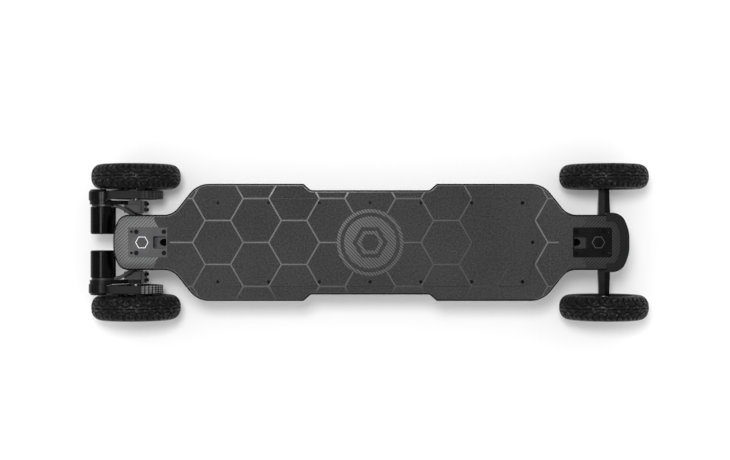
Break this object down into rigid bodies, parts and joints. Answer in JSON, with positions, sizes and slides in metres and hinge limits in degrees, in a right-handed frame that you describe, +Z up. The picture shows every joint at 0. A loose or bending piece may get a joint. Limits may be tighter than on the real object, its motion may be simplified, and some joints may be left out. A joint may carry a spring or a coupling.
{
  "type": "electric skateboard",
  "caption": "Electric skateboard with a hollow grip-topped deck, double-kingpin trucks, pneumatic tyres and two belt-driven motors behind the rear axle.",
  "frame": {"origin": "on the ground, below the middle of the object's box", "axes": "+X to the front (nose), +Y to the left, +Z up"},
  "size_m": [1.1181, 0.3118, 0.178],
  "materials": {
    "carbon": "clear-coated carbon weave",
    "seal_rubber": "matt",
    "black_steel": "black oxide",
    "grip": "gritty matt",
    "bumper_rubber": "smooth matt",
    "black_alloy": "black anodised",
    "badge": "satin",
    "cast_alloy": "bead blasted",
    "bushing": "urethane",
    "pivot_plastic": "nylon",
    "cell_wrap": "shrink wrap",
    "circuit_board": "satin",
    "bare_alloy": "finned",
    "red_wire": "silicone",
    "bare_steel": "brushed",
    "motor_iron": "varnished laminations",
    "belt_rubber": "matt",
    "lead_sleeve": "woven sleeve",
    "motor_can": "satin black",
    "tyre": "moulded tread",
    "rim_alloy": "satin black",
    "pulley_alloy": "black anodised"
  },
  "bodies": {
    "deck": {"deck_shell": "carbon", "deck_lid": "carbon", "lid_seal": "seal_rubber", "lid_screws": "black_steel", "grip_deck": "grip", "grip_lid": "grip", "nose_bumper": "bumper_rubber", "mount_plates": "black_alloy", "badges": "badge", "mount_bolts": "black_steel", "baseplates": "cast_alloy", "riser_pads": "seal_rubber", "upper_kingpins": "black_steel", "rear_upper_bushings": "bushing", "front_upper_bushings": "bushing", "upper_pivot_cups": "pivot_plastic", "battery_cells": "cell_wrap", "cell_holders": "pivot_plastic", "battery_board": "circuit_board", "motor_controller": "bare_alloy", "power_leads": "red_wire", "charge_port": "pivot_plastic", "switch_bezel": "black_alloy", "cable_grommets": "seal_rubber", "phase_leads": "lead_sleeve"},
    "charge_flap": {"charge_flap": "seal_rubber"},
    "power_button": {"power_button": "bare_steel"},
    "rear_knuckle": {"rear_knuckle": "black_alloy", "rear_lower_kingpin": "black_steel", "rear_lower_bushings": "bushing", "rear_lower_pivot_cup": "pivot_plastic"},
    "front_knuckle": {"front_knuckle": "black_alloy", "front_lower_kingpin": "black_steel", "front_lower_bushings": "bushing", "front_lower_pivot_cup": "pivot_plastic"},
    "rear_hanger": {"rear_hanger": "black_alloy", "rear_axle": "bare_steel", "rear_wheel_bearings": "bare_steel", "motor_mounts": "black_alloy", "belt_guards": "black_alloy", "motor_stators": "motor_iron", "drive_screws": "black_steel", "drive_belts": "belt_rubber"},
    "front_hanger": {"front_hanger": "black_alloy", "front_axle": "bare_steel", "front_wheel_bearings": "bare_steel"},
    "left_motor": {"left_motor_rotor": "motor_can", "left_motor_pulley": "bare_alloy"},
    "right_motor": {"right_motor_rotor": "motor_can", "right_motor_pulley": "bare_alloy"},
    "rear_left_wheel": {"rear_left_tyre": "tyre", "rear_left_rim": "rim_alloy", "rear_left_pulley": "pulley_alloy"},
    "rear_right_wheel": {"rear_right_tyre": "tyre", "rear_right_rim": "rim_alloy", "rear_right_pulley": "pulley_alloy"},
    "front_left_wheel": {"front_left_tyre": "tyre", "front_left_rim": "rim_alloy"},
    "front_right_wheel": {"front_right_tyre": "tyre", "front_right_rim": "rim_alloy"}
  },
  "joints": [
    {"name": "rear_upper_steer", "type": "hinge", "parent": "deck", "child": "rear_knuckle", "pos_m": [-0.42734, 0, 0.12829], "axis": [-0.766, 0, 0.6428], "range_deg": [-8, 8], "stiffness_Nm_per_rad": 90, "deforming": ["rear_upper_bushings", "phase_leads"]},
    {"name": "rear_lower_steer", "type": "hinge", "parent": "rear_knuckle", "child": "rear_hanger", "pos_m": [-0.4791, 0, 0.1195], "axis": [-0.766, 0, 0.6428], "range_deg": [-8, 8], "stiffness_Nm_per_rad": 90, "deforming": ["rear_lower_bushings"]},
    {"name": "front_upper_steer", "type": "hinge", "parent": "deck", "child": "front_knuckle", "pos_m": [0.42584, 0, 0.12829], "axis": [0.766, 0, 0.6428], "range_deg": [-8, 8], "stiffness_Nm_per_rad": 90, "deforming": ["front_upper_bushings"]},
    {"name": "front_lower_steer", "type": "hinge", "parent": "front_knuckle", "child": "front_hanger", "pos_m": [0.4776, 0, 0.1195], "axis": [0.766, 0, 0.6428], "range_deg": [-8, 8], "stiffness_Nm_per_rad": 90, "deforming": ["front_lower_bushings"]},
    {"name": "rear_left_spin", "type": "hinge", "parent": "rear_hanger", "child": "rear_left_wheel", "pos_m": [-0.47075, 0.131, 0.089], "axis": [0, 1, 0], "continuous": true},
    {"name": "rear_right_spin", "type": "hinge", "parent": "rear_hanger", "child": "rear_right_wheel", "pos_m": [-0.47075, -0.131, 0.089], "axis": [0, 1, 0], "continuous": true},
    {"name": "front_left_spin", "type": "hinge", "parent": "front_hanger", "child": "front_left_wheel", "pos_m": [0.46925, 0.131, 0.089], "axis": [0, 1, 0], "continuous": true},
    {"name": "front_right_spin", "type": "hinge", "parent": "front_hanger", "child": "front_right_wheel", "pos_m": [0.46925, -0.131, 0.089], "axis": [0, 1, 0], "continuous": true},
    {"name": "left_motor_spin", "type": "hinge", "parent": "rear_hanger", "child": "left_motor", "pos_m": [-0.52975, 0.06, 0.127], "axis": [0, 1, 0], "continuous": true},
    {"name": "right_motor_spin", "type": "hinge", "parent": "rear_hanger", "child": "right_motor", "pos_m": [-0.52975, -0.06, 0.127], "axis": [0, 1, 0], "continuous": true},
    {"name": "flap_hinge", "type": "hinge", "parent": "deck", "child": "charge_flap", "pos_m": [-0.29975, 0.034, 0.1337], "axis": [0, 1, 0], "range_deg": [0, 100]},
    {"name": "button_press", "type": "slide", "parent": "deck", "child": "power_button", "axis": [0, 0, 1], "range_m": [0, 0.0018], "stiffness_N_per_m": 300, "springref_m": -0.002}
  ],
  "couplings": [
    {"joint": "left_motor_spin", "follows": "rear_left_spin", "ratio": 4.4},
    {"joint": "right_motor_spin", "follows": "rear_right_spin", "ratio": 4.4}
  ]
}
